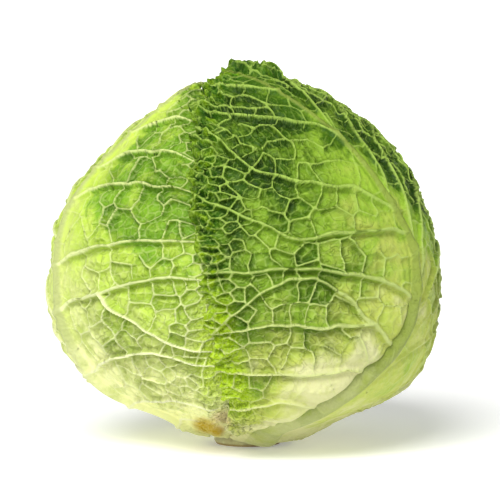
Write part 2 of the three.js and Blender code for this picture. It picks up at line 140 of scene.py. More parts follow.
LATERALS_WIDE = [
    [[-53, -86], [-30, -78], [0, -72], [40, -72], [80, -84]],
    [[-44, -56], [-22, -42], [4, -30], [44, -22], [100, -30]],
    [[-20, -29], [-2, -8], [20, 8], [52, 18], [116, 14]],
    [[-10, -6], [2, 22], [16, 42], [46, 58], [110, 66]],
    [[-10, 14], [-4, 40], [4, 64], [24, 84], [80, 108]],
    [[-16, 40], [-10, 66], [-2, 88], [14, 108], [48, 130]],
    [[-24, 78], [-18, 100], [-8, 120], [12, 144]],
]
LATERALS_LEVEL = [
    [[3, -104], [40, -98], [76, -108]],
    [[8, -74], [40, -68], [72, -72], [100, -88]],
    [[12, -46], [34, -40], [59, -34], [84, -36], [110, -50]],
    [[48, -4], [66, -13], [86, -26], [104, -34], [120, -44]],
    [[14, -14], [26, -6], [48, -3], [75, 6], [100, 8], [124, 8]],
    [[12, 8], [28, 16], [58, 24], [94, 29], [124, 34]],
    [[7, 42], [25, 52], [54, 57], [82, 60], [118, 66]],
    [[5, 58], [24, 72], [49, 78], [70, 80], [106, 86]],
    [[6, 82], [28, 98], [56, 112], [76, 128]],
]

# How far each leaf reaches from its centre, as [degrees from the tip, distance]
HEEL = [[150, 133], [160, 138], [166, 137], [170, 130], [175, 124], [180, 122]]
REACH_OVER_CROWN = [[0, 156], [25, 151], [45, 139], [65, 129], [85, 119], [110, 116], [130, 118]] + HEEL
REACH_SHORT = [[0, 125], [25, 126], [45, 127], [65, 124], [85, 119], [110, 117], [130, 123],
               [140, 129]] + HEEL
REACH_INNER = [[0, 141], [25, 137], [45, 126], [65, 116], [85, 108], [110, 104], [130, 110]] + HEEL

# From the outermost leaf inwards. Turn is in degrees round +Z, from -Y towards +X. Plain is how far
# from its midrib the blade stays smooth, net how strong its relief is, and steps how fine its mesh.
LEAVES = [
    {"node": "leaf_1", "turn": 60, "reach": REACH_OVER_CROWN, "midrib": MIDRIB_HOOKED,
     "left": LATERALS_HOOKED, "right": LATERALS_WIDE, "crest": 6.0, "frill": 1.0, "plain": 48,
     "net": 1.0, "seed": 11, "finish": "green", "steps": 288},
    {"node": "leaf_2", "turn": -78, "reach": REACH_SHORT, "midrib": MIDRIB,
     "left": LATERALS, "right": LATERALS_LEVEL, "crest": 0.0, "frill": 0.4, "plain": 34,
     "net": 0.7, "seed": 23, "finish": "lime", "steps": 288},
    {"node": "leaf_3", "turn": 150, "reach": REACH_SHORT, "midrib": MIDRIB,
     "left": LATERALS, "right": None, "crest": 0.0, "frill": 0.6, "plain": 48,
     "net": 0.8, "seed": 37, "finish": "back", "steps": 270},
    {"node": "leaf_4", "turn": 8, "reach": REACH_INNER, "midrib": MIDRIB,
     "left": LATERALS, "right": None, "crest": 0.0, "frill": 1.0, "plain": 40,
     "net": 1.0, "seed": 41, "finish": "inner", "steps": 210},
    {"node": "leaf_5", "turn": -130, "reach": REACH_INNER, "midrib": MIDRIB,
     "left": LATERALS, "right": None, "crest": 0.0, "frill": 1.0, "plain": 40,
     "net": 1.0, "seed": 59, "finish": "inner", "steps": 210},
]
INNER_STEP = 3  # the inner face has one point for so many on the outer face

# Old bruises by the heel, as [x, z, radius] seen from the front
STAINS = [[-20.5, 12, 8.5], [-15, 9, 5]]
BLUSHES = [[-12.5, 18.5, 7], [-14, 10.5, 4.5]]

# The stage, in metres and degrees. The key light is a sun that shines from one side.
FLOOR_RADIUS = 4.0
SWEEP_START = 2.4
SWEEP_HEIGHT = 1.2
FRAME_WIDTH = 0.241
CAMERA_DISTANCE = 1.5
CAMERA_ELEVATION = 4.5
CAMERA_TARGET = (0.0009, 0.0, 0.0935)
SENSOR_WIDTH = 36.0
KEY_FROM = (-0.35, -1.0, 0.98)
KEY_SPREAD = 32
KEY_POWER = 3.2
FILL_PLACE = (0.5, -2.2, 0.5)
FILL_TARGET = (0, 0, 0.09)
FILL_SIZE = 1.6
FILL_POWER = 3
ROOM_POWER = 0.3


# ---------------------------------------------------------------- curves and noise

def ease(x, start, end):
    """Runs smoothly from 0 at start to 1 at end."""
    t = np.clip((x - start) / (end - start), 0.0, 1.0)
    return t * t * (3.0 - 2.0 * t)


def mix(a, b, share):
    """Goes from a to b as share goes from 0 to 1."""
    return a + (b - a) * share


def read_curve(pairs, x):
    """Reads a smooth curve through [x, y] pairs."""
    xs, ys = np.array(pairs, float).T
    slopes = np.gradient(ys, xs)
    slopes[1:-1] = (ys[2:] - ys[:-2]) / (xs[2:] - xs[:-2])
    i = np.clip(np.searchsorted(xs, x) - 1, 0, len(xs) - 2)
    width = xs[i + 1] - xs[i]
    t = np.clip((x - xs[i]) / width, 0.0, 1.0)
    rise = t * t * (3.0 - 2.0 * t)
    start = t * (1.0 - t) ** 2 * width * slopes[i]
    end = t * t * (t - 1.0) * width * slopes[i + 1]
    return ys[i] + (ys[i + 1] - ys[i]) * rise + start + end


def scrambled(i, j, seed):
    """A number from 0 to 1 for each whole-number place, always the same for that place, by the
    usual hash: the far digits of a large sine."""
    value = np.sin(i * 127.1 + j * 311.7 + seed * 74.7) * 43758.5453
    return value - np.floor(value)


def noise(u, v, size, seed):
    """Smooth noise from -1 to 1 whose lumps are about size millimetres across."""
    x, y = u / size, v / size
    i, j = np.floor(x), np.floor(y)
    s, t = ease(x - i, 0, 1), ease(y - j, 0, 1)
    low = mix(scrambled(i, j, seed), scrambled(i + 1, j, seed), s)
    high = mix(scrambled(i, j + 1, seed), scrambled(i + 1, j + 1, seed), s)
    return 2.0 * mix(low, high, t) - 1.0


def fine_cells(u, v, size, seed):
    """Distance to the nearest edge of irregular cells about size millimetres across."""
    x, y = u / size, v / size
    i, j = np.floor(x), np.floor(y)
    first = np.full(x.shape, 9.0)
    second = first.copy()
    a = np.zeros((2,) + x.shape)
    b = a.copy()
    for di in (-1, 0, 1):
        for dj in (-1, 0, 1):
            p = np.stack((i + di + 0.1 + 0.8 * scrambled(i + di, j + dj, seed),
                          j + dj + 0.1 + 0.8 * scrambled(i + di, j + dj, seed + 5)))
            away = np.hypot(p[0] - x, p[1] - y)
            nearer = away < first
            next_nearest = ~nearer & (away < second)
            b = np.where(nearer, a, np.where(next_nearest, p, b))
            second = np.where(nearer, first, np.where(next_nearest, away, second))
            a = np.where(nearer, p, a)
            first = np.where(nearer, away, first)
    apart = np.maximum(np.hypot(a[0] - b[0], a[1] - b[1]), 1e-3)
    return size * (second ** 2 - first ** 2) / (2.0 * apart)


# ---------------------------------------------------------------- the head and its leaves

def on_sphere(turn, u, v):
    """Lays the flat leaf on the unit sphere, as a map on a globe."""
    away = np.hypot(u, v)
    angle = away / HEAD_RADIUS
    k = np.where(away > 1e-9, np.sin(angle) / np.maximum(away, 1e-9), 1.0 / HEAD_RADIUS)
    turn = math.radians(turn)
    ahead = np.cos(angle)
    return np.stack((ahead * math.sin(turn) + k * u * math.cos(turn),
                     -ahead * math.cos(turn) + k * u * math.sin(turn),
                     k * v), axis=-1)


def on_leaf(turn, dirs):
    """The place on the flat leaf of each direction."""
    turn = math.radians(turn)
    ahead = dirs[..., 0] * math.sin(turn) - dirs[..., 1] * math.cos(turn)
    across = dirs[..., 0] * math.cos(turn) + dirs[..., 1] * math.sin(turn)
    angle = np.arccos(np.clip(ahead, -1.0, 1.0))
    k = angle * HEAD_RADIUS / np.maximum(np.hypot(across, dirs[..., 2]), 1e-9)
    return across * k, dirs[..., 2] * k


def inside_margin(leaf, u, v):
    """Distance inside the margin, before it is waved. It is negative outside."""
    from_tip = np.degrees(np.abs(np.arctan2(u, v)))
    return read_curve(leaf["reach"], from_tip) - np.hypot(u, v)


def along_margin(u, v):
    """How far round the margin this place is, in millimetres."""
    return np.arctan2(u, v) * HEAD_RADIUS * MARGIN_ROUND


def margin_wave(leaf, u, v, length):
    """One wave after another along the margin, not quite even, from -1 to 1."""
    along = along_margin(u, v)
    uneven = along + 5.0 * np.sin(along / 37.0 + leaf["seed"])
    return np.sin(2.0 * math.pi * uneven / length + leaf["seed"])


def head_radius(dirs):
    """Distance from the centre of the head to its outside."""
    z = np.clip(dirs[..., 2], -1.0, 1.0)
    up = np.degrees(np.arcsin(z))
    turn = np.arctan2(dirs[..., 0], -dirs[..., 1])
    lumps = np.sin(3 * turn + 0.6) + np.sin(5 * turn + 3 * z + 2)
    slim = SLIM_BELOW * ease(up, -6, -30) + SLIM_ABOVE * ease(up, 14, 42)
    return (HEAD_RADIUS - BASE_FLATTENING * ease(up, -26, -60) - STEM_HOLLOW * ease(up, -66, -90)
            + CROWN_RISE * ease(up, 48, 86) + HEAD_LUMPS * lumps * (1 - z * z)
            - slim * ease(dirs[..., 0], 0, -0.45))


def covers(index, dirs):
    """The total and the greatest cover, each from 0 to 1 a leaf, by the leaves outside this one."""
    total = np.zeros(dirs.shape[:-1])
    most = total.copy()
    for leaf in LEAVES[:index]:
        cover = ease(inside_margin(leaf, *on_leaf(leaf["turn"], dirs)), -LAYER_EDGE, -SCALLOP)
        total += cover
        most = np.maximum(most, cover)
    return total, most


def midrib_across(leaf, v):
    """Where the midrib is at this height along the leaf."""
    return read_curve([[along, across] for across, along in leaf["midrib"]], v)


def off_midrib_way(leaf, v):
    """The way square to the midrib, towards the right half, as across and along."""
    slope = (midrib_across(leaf, v + 1) - midrib_across(leaf, v - 1)) / 2
    length = np.hypot(1, slope)
    return 1 / length, -slope / length


def from_midrib(leaf, u, v):
    """Distance from the midrib, measured square to it. It is negative on the left half."""
    return (u - midrib_across(leaf, v)) * off_midrib_way(leaf, v)[0]


def is_hooked(leaf):
    """1 for the outermost leaf, whose midrib is hooked, and 0 for the others."""
    return 1.0 if leaf["midrib"] is MIDRIB_HOOKED else 0.0


def lipped(leaf, v):
    """How much the blade laps over the left edge of the midrib here, from 0 to 1."""
    return is_hooked(leaf) * ease(v, 15, -30) * ease(v, -122, -88)


def smooth_route(route, parts=7):
    """Points of a smooth line through the route, from its root outwards."""
    points = np.array(route, float)
    ends = np.vstack((2 * points[0] - points[1], points, 2 * points[-1] - points[-2]))
    line = []
    for k in range(len(points) - 1):
        a, b, c, d = ends[k:k + 4]
        for t in np.arange(parts) / parts:
            line.append(0.5 * (2 * b + (c - a) * t + (2 * a - 5 * b + 4 * c - d) * t * t
                               + (3 * b - a - 3 * c + d) * t ** 3))
    return np.array(line + [points[-1]])


def lateral_lines(leaf):
    """The side ribs on both halves. Without routes of its own the right half mirrors the left."""
    right = leaf["right"] or [[[2 * float(midrib_across(leaf, np.array(v))) - u, v - 8]
                               for u, v in route] for route in leaf["left"]]
    return [smooth_route(route) for route in leaf["left"] + right]


def nearest_rib(u, v, lines):
    """Distance to the nearest side rib, how far along that rib it is, and the way to it."""
    best = np.full(u.shape, 1e9)
    share = np.zeros(u.shape)
    to_u = np.zeros(u.shape)
    to_v = np.zeros(u.shape)
    for line in lines:
        count = len(line) - 1
        for k in range(count):
            a, b = line[k], line[k + 1]
            d = b - a
            t = np.clip(((u - a[0]) * d[0] + (v - a[1]) * d[1]) / (d @ d), 0.0, 1.0)
            du, dv = a[0] + t * d[0] - u, a[1] + t * d[1] - v
            away = du ** 2 + dv ** 2
            nearer = away < best
            best = np.where(nearer, away, best)
            share = np.where(nearer, (k + t) / count, share)
            to_u = np.where(nearer, du, to_u)
            to_v = np.where(nearer, dv, to_v)
    return np.sqrt(best), share, to_u, to_v


# ---------------------------------------------------------------- the raised net

def cell_size(leaf, u, v, size):
    """Cells are large by the midrib and small at the margin, and uneven everywhere."""
    by_midrib = ease(np.abs(from_midrib(leaf, u, v)), 60, 15)
    at_margin = ease(inside_margin(leaf, u, v), 40, 10)
    uneven = 1.0 + 0.35 * noise(u, v, 17, leaf["seed"] + 21)
    return size * (1.0 + 0.3 * by_midrib - 0.45 * at_margin) * uneven


def cell_middles(leaf, lines, size):
    """Middles of the cells of the net, in pairs along each side rib and scattered between them."""
    random = np.random.default_rng(leaf["seed"])
    middles = []

    def add(u, v, room):
        if inside_margin(leaf, np.array(u), np.array(v)) < -2:
            return
        if middles:
            apart = np.hypot(*(np.array(middles) - (u, v)).T)
            if apart.min() < room:
                return
        middles.append((u, v))

    for line in lines:
        k = 0.0
        while k < len(line) - 1.01:
            a, b = line[int(k)], line[int(k) + 1]
            across = np.array((a[1] - b[1], b[0] - a[0])) / np.hypot(*(b - a))
            room = float(cell_size(leaf, a[0], a[1], size))
            side = room * random.uniform(0.42, 0.58)
            for sign in (-1, 1):
                add(*(a + sign * side * across), 0.55 * room)
            k += room * random.uniform(0.8, 1.3) / np.hypot(*(b - a))
    for u, v in random.uniform((-128, -158), (128, 158), (9000, 2)):
        add(u, v, 0.82 * float(cell_size(leaf, u, v, size)))
    return np.array(middles)


def vein_ridge(off):
    """Height of a vein at this distance from its middle, from 0 to 1."""
    return ease(off, VEIN_FOOT, VEIN_TOP)


def net_ridges(u, v, middles):
    """Strength of the nearest vein of the net from 0 to 1, distance to the nearest cell edge,
    the way to that edge, and a number from 0 to 1 for each cell."""
    tree = kdtree.KDTree(len(middles))
    for k, (x, y) in enumerate(middles):
        tree.insert((x, y, 0.0), k)
    tree.balance()
    flat = zip(u.ravel().tolist(), v.ravel().tolist())
    near = np.array([[found[1] for found in tree.find_n((x, y, 0.0), 5)] for x, y in flat])
    places = np.stack((u.ravel(), v.ravel()), axis=-1)
    own = middles[near[:, 0]]
    ridge = np.zeros(len(places))
    edge = np.full(len(places), 1e9)
    way = np.zeros(places.shape)
    for k in range(1, 5):
        other = middles[near[:, k]]
        apart = np.hypot(*(other - own).T)
        off = (((places - other) ** 2).sum(-1) - ((places - own) ** 2).sum(-1)) / (2.0 * apart)
        strength = 0.4 + 0.6 * ease(scrambled(near[:, 0] + near[:, k], 0, 7), 0.05, 0.4)
        ridge = np.maximum(ridge, strength * vein_ridge(off))
        nearer = (off < edge) & (strength > 0.5)
        way = np.where(nearer[:, None], (other - own) / apart[:, None], way)
        edge = np.where(nearer, off, edge)
    cell = scrambled(near[:, 0], 0, 3)
    return (ridge.reshape(u.shape), edge.reshape(u.shape),
            way.reshape(u.shape + (2,)), cell.reshape(u.shape))


def strength_of(ridge, edge):
    """How strong the vein is that made this ridge, from 0 to 1."""
    return np.clip(ridge / np.maximum(vein_ridge(edge), 0.05), 0.0, 1.0)


def wander(leaf, u, v):
    """The veins wander a little, so the net is read at a place shifted by up to 2 mm."""
    seed = leaf["seed"]
    return (u + 1.5 * noise(u, v, 11, seed) + 0.4 * noise(u, v, 4, seed + 1),
            v + 1.5 * noise(u, v, 11, seed + 2) + 0.4 * noise(u, v, 4, seed + 3))


def frill_folds(leaf, u, v, inside):
    """Tight folds that run in from the margin, from -1 to 1."""
    seed = leaf["seed"]
    lean = 0.9 * noise(u, v, 21, seed + 51) * inside
    bend = 2.6 * noise(u, v, 8.5, seed + 52) + 1.3 * noise(u, v, 3.9, seed + 53)
    return np.sin(2.0 * math.pi * (along_margin(u, v) + lean + bend) / FOLD_LENGTH)


# ---------------------------------------------------------------- the relief and colouring of a leaf
#
# Each measure is built from zones of the flat leaf. The two numbers that ease takes are where the
# zone starts and where it is full, in millimetres: along the leaf for v, across it from the midrib
# for right and off, in from the margin for inside, and away from a rib or a vein for rib and edge.

def leaf_places(leaf, index, u, v, middles):
    """What each place on the leaf is near: its margin, ribs and cells, and the leaves outside it."""
    at = SimpleNamespace(u=u, v=v, hooked=is_hooked(leaf), lip=lipped(leaf, v))
    at.inside = inside_margin(leaf, u, v)
    at.dirs = on_sphere(leaf["turn"], u, v)
    at.total, most = covers(index, at.dirs)
    at.left = 1.0 - (1.0 - PRESSED) * most
    at.right = from_midrib(leaf, u, v)
    at.off = np.abs(at.right)
    at.half = read_curve(MIDRIB_HALF, v)
    at.off_heel = ease(v, -122, -104)
    at.near_tip = ease(v, 30, 90)
    at.by_margin = ease(at.inside, 26, 5) * at.off_heel
    at.wu, at.wv = wander(leaf, u, v)
    at.rib, at.share, _, at.under = nearest_rib(at.wu, at.wv, lateral_lines(leaf))
    at.ridge, at.edge, at.way, at.cell = net_ridges(at.wu, at.wv, middles)
    fine_size = mix(FINE_CELL, FINE_CELL_AT_MARGIN, at.by_margin)
    at.fine = fine_cells(at.wu, at.wv, fine_size, leaf["seed"] + 7)
    from_crest = np.hypot(u - CREST_MIDDLE[0], v - CREST_MIDDLE[1])
    at.crest = ease(from_crest, CREST_RADIUS, CREST_TOP_RADIUS)
    at.tuft = at.hooked * ease(from_crest, 1.3 * CREST_RADIUS, 0.6 * CREST_RADIUS)
    return at


def shape_ribs(at):
    """Side ribs stand up with a groove beside them, deepest on their lower side."""
    slender = mix(1.0, 0.72, at.near_tip)
    at.off_midrib = ease(at.off, at.half, at.half + 4)
    at.off_lip = 1.0 - at.lip * ease(-at.right, at.half + 1.0, at.half - 0.5)
    at.rib_half = mix(0.9, 0.5, at.share) * slender
    at.lateral = np.exp(-((at.rib / (mix(1.5, 1.1, at.share) * slender)) ** 2)) * at.off_lip
    at.beside = np.minimum(ease(at.rib, 0.8 * at.rib_half, at.rib_half + 1.2), at.off_midrib)
    # the groove is deepest below a rib, and there it is also painted as shade in the leaf's colouring
    below_rib = mix(0.4, 1.0, ease(at.under, -0.3, 1.0))
    at.shadow = ease(at.rib, 5.0, at.rib_half + 1.0) * below_rib * at.off_midrib
    at.groove = ease(at.rib, 0.2 * at.rib_half, at.rib_half + 1.4) * at.shadow


def sink_cells(leaf, at, sizes):
    """How far the blade sinks between veins: steeply beside each, and less in a cell's middle."""
    seed = leaf["seed"]
    plain = leaf["plain"] * mix(1.0, 0.4, at.near_tip)
    deep = mix(0.3, 1.0, ease(at.off - plain, 6.0 - plain, 0.0)) * mix(0.3, 1.0, ease(at.v, -108, -30))
    at.smooth_side = ease(at.right, -2, 6) * ease(at.right, 75, 35) * ease(at.v, 10, -50) * at.hooked
    at.past = (-at.right - at.half) / 34.0
    lobe = at.lip * ease(at.past, 0.9, 0.35) * ease(at.past, -0.1, 0.0) * ease(at.v, -20, -45)
    at.lobe = lobe * mix(0.3, 1.0, ease(at.v, -74, -56))
    deep = deep * (1.0 - 0.8 * at.smooth_side) * (1.0 - 0.7 * at.lobe)
    at.deep = deep * mix(0.55, 1.0, leaf["net"])
    at.hollow = (1.0 - 0.45 * ease(at.edge, 1.3, 4.8)) * at.deep * (0.75 + 0.5 * at.cell)
    pit = (1.0 - at.ridge) * at.hollow * at.beside
    at.small_pit = ease(at.fine, 0.1, 1.2) * (1.0 - 0.8 * at.ridge) * at.beside
    crumple = noise(at.wu, at.wv, 6.5, seed + 31) + 0.6 * noise(at.wu, at.wv, 3.1, seed + 32)
    sunk = sizes.cell_depth * pit + mix(0.9 * at.deep, 1.3, at.by_margin) * at.small_pit
    sunk = sunk + 1.6 * at.groove * mix(0.5, 1.0, at.deep) - 0.9 * at.deep * crumple * at.beside
    return DEEPEST * np.tanh(sunk / DEEPEST)


def swell_heel(at):
    """The blade swells beside the midrib's heel, more between side ribs, and laps over its edge."""
    inner = np.sin(math.pi * np.sqrt(np.clip(at.past, 0, 1)))
    swell = np.where((at.past > 0) & (at.past < 1), inner, 0.0)
    lobes = mix(0.55, 1.0, ease(at.rib, 1, 11))
    crease = 4.5 * swell * ease(at.v, 15, -30) * ease(at.v, -118, -78) * lobes
    over = 2.6 * at.lip * lobes * np.where(at.past > 0, ease(at.past, 0.3, 0.02), 0.0)
    return crease, over


def wave_margin(leaf, at, height, sizes):
    """The margin is waved and curls in tight folds, and the tip stands up as a crest."""
    u, v, seed = at.u, at.v, leaf["seed"]
    wave = 0.5 * margin_wave(leaf, u, v, WAVE_LENGTH)
    wave = wave + 0.3 * margin_wave(leaf, u, v, SHORT_WAVE_LENGTH)
    fold = frill_folds(leaf, u, v, at.inside)
    at.curl = 0.4 * fold + 0.7 * noise(u, v, 3.1, seed + 10) + 0.45 * noise(u, v, 1.9, seed + 12)
    at.curly = noise(u, v, 4.3, seed + 71) + 0.8 * noise(u, v, 2.3, seed + 72)
    crowded = (1.0 - at.hooked) * ease(at.dirs[..., 2], 0.75, 0.9)
    high = sizes.frill_height * leaf["frill"] * (1.0 - 0.7 * crowded)
    frill = ease(at.inside, sizes.frill_width, 0) * at.off_heel
    height = height + high * frill * (0.5 + 0.5 * wave)
    height = height + 0.38 * high * at.off_heel * ease(at.inside, sizes.frill_width, 5) * at.curl
    height = height + 1.3 * at.tuft * at.curly
    crest = at.crest * (0.85 + 0.1 * wave + 0.12 * at.curl)
    return at.left * height + at.left * leaf["crest"] * crest


def kept_level(dirs, reach):
    """Keeps a leaf off the ground and presses down what stands above the crest's level."""
    below = np.maximum(-dirs[..., 2], 1e-6)
    reach = np.minimum(reach, (CENTRE_HEIGHT - LOWEST) / below)
    above = np.maximum(dirs[..., 2], 1e-6)
    fall = np.clip(CREST_FALL * (dirs[..., 0] * reach - CREST_FALL_START), 0.0, CREST_FALL_MOST)
    level = CREST_LEVEL - CENTRE_HEIGHT - fall
    return reach - CREST_PRESS * np.maximum(reach - level / above, 0.0)


def green_share(at):
    """How green the blade is, from 0 at its pale heel to 1 at its tip."""
    v, right = at.v, at.right
    green = 0.75 * ease(v, -95, 95) + 0.38 * ease(at.off, 8, 75) * ease(v, -112, 15)
    green = green + 0.6 * at.beyond - 0.5 * at.lobe
    green = green + 0.5 * at.hooked * ease(-right, 9, 25) * ease(v, -118, -92) * ease(v, -37, -54)
    green = green + 0.35 * at.hooked * ease(v, 40, 100)
    near_heel = ease(v, -105, -80) * ease(v, -10, -40)
    green = green + 0.25 * at.hooked * ease(right, 0, 8) * ease(right, 70, 35) * near_heel
    return np.clip(green, 0, 1.1)


def painted_shade_share(leaf, at):
    """How dark a place is: in a cell, below a vein or rib, in the midrib's cleft or in a curl."""
    v, right, half = at.v, at.right, at.half
    petiole = at.lip * ease(-right, half + 1.2, half + 0.3) * ease(right, half + 3, half - 3)
    cleft = petiole * mix(0.55, 1.0, ease(right, -half + 3.5, -half + 0.5))
    rib_edge = ease(-right, half - 0.2, half + 0.7) * ease(-right, half + 3.0, half + 0.9)
    cleft = np.maximum(cleft, 0.7 * rib_edge * ease(v, -60, -20) * ease(v, 110, 60))
    broken = ease(noise(at.u, v, 9, leaf["seed"] + 61) + at.cell - 0.5, -0.5, 0.3)
    below_vein = mix(0.3, 1.0, ease(at.way[..., 1], -0.2, 0.5))
    under_vein = ease(at.edge, 0.3, 0.8) * ease(at.edge, 2.6, 0.9) * below_vein
    painted_shade = np.maximum(0.85 * at.hollow * at.off_midrib, 1.4 * at.deep * under_vein * at.beside * broken)
    painted_shade = np.maximum(painted_shade * (1.0 + 0.5 * at.beyond), at.shadow * mix(0.3, 1.0, at.deep))
    painted_shade = np.maximum(painted_shade * mix(0.5, 1.0, leaf["net"]) * mix(0.25, 1.0, ease(v, -100, -5)), cleft)
    curl_shade = at.curled * np.maximum(ease(at.curl, 0.2, -0.5), 0.85 * at.small_pit)
    curl_shade = np.maximum(curl_shade, at.tuft * mix(0.65, 1.0, ease(at.curly, 0.1, -0.7)))
    painted_shade = np.maximum(painted_shade * (1.0 - 0.5 * at.curled), curl_shade * mix(0.2, 1.0, ease(v, -90, 60)))
    return np.clip(painted_shade, 0, 1)


def spots(dirs, reach, places):
    """Round spots on the front of the head, 1 in their middle and 0 at their rim."""
    x, z = dirs[..., 0] * reach, dirs[..., 2] * reach + CENTRE_HEIGHT
    shares = [ease(np.hypot(x - px, z - pz), size, 0.3 * size) for px, pz, size in places]
    return (dirs[..., 1] < 0) * np.max(shares, 0)


def leaf_relief(leaf, index, u, v, middles, sizes):
    """Where the outer face lies, and the measures that colour it."""
    at = leaf_places(leaf, index, u, v, middles)
    shape_ribs(at)
    sunk = sink_cells(leaf, at, sizes)
    crease, over = swell_heel(at)
    across = np.clip(at.right / at.half, -1.0, 1.0)
    midrib = (1.0 - across * across) * (1.0 + 0.5 * across)
    height = mix(1.3, 0.8, at.share) * at.lateral - sunk
    height = height + crease + read_curve(MIDRIB_HEIGHT, v) * midrib
    height = wave_margin(leaf, at, height, sizes)
    height = height + at.left * 0.8 * noise(u, v, 38, leaf["seed"] + 11)
    reach = kept_level(at.dirs, head_radius(at.dirs) - LAYER * at.total + height)

    # painted shade on the upper right half of the leaf: greener and darker there
    at.beyond = ease(at.right, 4, 20) * ease(v, 5, 60) * mix(1.0, 0.3, ease(at.right, 50, 95))
    at.curled = np.maximum(ease(at.inside, 14, 7) * at.off_heel, at.tuft)
    coloured = ease(v, -84, -58)
    # the crests of the curls get a painted highlight, and the very edge a pale line
    rim = np.maximum(at.curled * ease(at.curl, 0.15, 0.7), 0.8 * ease(at.inside, 2.4, 0.8))
    vein_half = 0.3 * strength_of(at.ridge, at.edge) * (1.0 - at.smooth_side)
    way_u, way_v = off_midrib_way(leaf, v)
    return {
        "dirs": at.dirs,
        "leaned": on_sphere(leaf["turn"], u + over * way_u, v + over * way_v),
        "reach": reach,
        "rib_in": np.clip(at.rib_half - at.rib, -3, 3) - 3.0 * (1.0 - at.off_lip),
        "midrib_in": np.clip(at.half - at.off, -3, 3),
        "net_in": np.clip(vein_half - at.edge, -3, 3),
        "small_in": np.clip(0.3 - at.fine, -3, 3) - 3.0 * (1.0 - at.beside),
        # painted shade: in the hollows, below veins and ribs, in the midrib's cleft, in the curls and on
        # the upper right half
        "pit": painted_shade_share(leaf, at),
        "deep": np.maximum(at.deep, at.by_margin),
        "show": leaf["net"] * mix(0.2, 1.0, ease(v, -100, -20)) * mix(0.6, 1.0, at.deep),
        "green": green_share(at),
        "margin": np.maximum(ease(at.inside, 16, 8) * coloured, 0.85 * at.tuft),
        # painted highlight on the crests of the curls, and a pale line along the edge
        "rim": coloured * rim * mix(1.0, 0.6, ease(v, -20, 100)) * (1.0 - 0.4 * at.tuft),
        "tip": ease(v, -90, 70),
        "cell": at.cell,
        "stain": spots(at.dirs, reach, STAINS),
        "blush": spots(at.dirs, reach, BLUSHES),
    }


# ---------------------------------------------------------------- meshes

def disc_grid(steps):
    """A square grid pressed into a disc of radius 1, so that its points lie evenly."""
    line = np.linspace(-1.0, 1.0, steps + 1)
    a, b = np.meshgrid(line, line)
    wide = np.abs(a) >= np.abs(b)
    with np.errstate(divide="ignore", invalid="ignore"):
        turn = np.where(wide, math.pi / 4 * b / a, math.pi / 2 - math.pi / 4 * a / b)
    radius = np.where(wide, a, b)
    turn = np.where(radius == 0, 0.0, turn)
    return radius * np.cos(turn), radius * np.sin(turn)


def grid_faces(steps, offset=0, flip=False):
    """The quads of a square grid of points."""
    i, j = np.meshgrid(np.arange(steps), np.arange(steps), indexing="ij")
    corner = (i * (steps + 1) + j).ravel() + offset
    quads = np.stack((corner, corner + 1, corner + steps + 2, corner + steps + 1), axis=-1)
    return quads[:, ::-1] if flip else quads


def grid_edge(steps, offset=0):
    """The points round the edge of a square grid, in order."""
    n = steps
    line = np.arange(n)
    low, right = line, (line * (n + 1)) + n
    top, left = (n + 1) * n + (n - line), (n - line) * (n + 1)
    return np.concatenate((low, right, top, left)) + offset


def ring_points(radius, height, turn):
    """Points round the Z axis at these angles."""
    return np.stack((radius * np.cos(turn), radius * np.sin(turn), 0 * turn + height), axis=-1)


def ringed_faces(rings, sides, closed=True):
    """Faces of a shape made of rings of points, from its first point outwards. A closed shape has
    one more point after its last ring."""
    faces = []
    last = 1 + (rings - 1) * sides
    for k in range(sides):
        following = (k + 1) % sides
        faces.append([0, 1 + following, 1 + k])
        if closed:
            faces.append([last + sides, last + k, last + following])
        for a in range(1, last, sides):
            b = a + sides
            faces.append([a + k, a + following, b + following, b + k])
    return faces


def lowest_near(values, reach):
    """The lowest value within reach grid steps of each point."""
    padded = np.pad(values, reach, mode="edge")
    around = np.lib.stride_tricks.sliding_window_view(padded, (2 * reach + 1, 2 * reach + 1))
    return around.min(axis=(-2, -1))


def new_object(name, data, place=(0, 0, 0), facing=None):
    """Adds an object to the scene. A light or a camera faces the way that is given."""
    item = bpy.data.objects.new(name, data)
    item.location = place
    if facing is not None:
        item.rotation_mode = "QUATERNION"
        item.rotation_quaternion = facing.to_track_quat("-Z", "Y")
    bpy.context.scene.collection.objects.link(item)
    return item


def new_mesh_object(name, points, faces, shares=None):
    """A smooth mesh with its colouring shares as point attributes."""
    mesh = bpy.data.meshes.new(name)
    mesh.from_pydata((points * MM).tolist(), [], faces)
    for share, values in (shares or {}).items():
        layer = mesh.attributes.new(share, "FLOAT", "POINT")
        layer.data.foreach_set("value", np.ascontiguousarray(values, dtype=np.float32))
    mesh.validate()
    mesh.shade_smooth()
    return new_object(name, mesh)


MEASURES = ("rib_in", "midrib_in", "net_in", "small_in", "pit", "deep", "show", "green", "margin", "rim",
            "tip", "cell", "stain", "blush")


def onto_veins(leaf, u, v, middles, spacing):
    """Slides the points nearest a rib or a vein onto it, so that its ridge comes out sharp."""
    lines = lateral_lines(leaf)
    inner = 0.93 * ease(inside_margin(leaf, u, v), 1, 4)
    for _ in range(2):
        wu, wv = wander(leaf, u, v)
        _, edge, way, _ = net_ridges(wu, wv, middles)
        rib, _, to_u, to_v = nearest_rib(wu, wv, lines)
        onto_rib = inner * ease(rib, 0.95 * spacing, 0.3 * spacing)
        onto_net = inner * edge * ease(edge, 0.95 * spacing, 0.3 * spacing) * ease(rib, 2.0, 3.5)
        u = u + onto_rib * to_u + onto_net * way[..., 0]
        v = v + onto_rib * to_v + onto_net * way[..., 1]
        from_lip = -from_midrib(leaf, u, v) - read_curve(MIDRIB_HALF, v)
        onto_lip = inner * lipped(leaf, v) * ease(np.abs(from_lip), 0.95 * spacing, 0.3 * spacing)
        way_u, way_v = off_midrib_way(leaf, v)
        u = u + onto_lip * from_lip * way_u
        v = v + onto_lip * from_lip * way_v
    return u, v


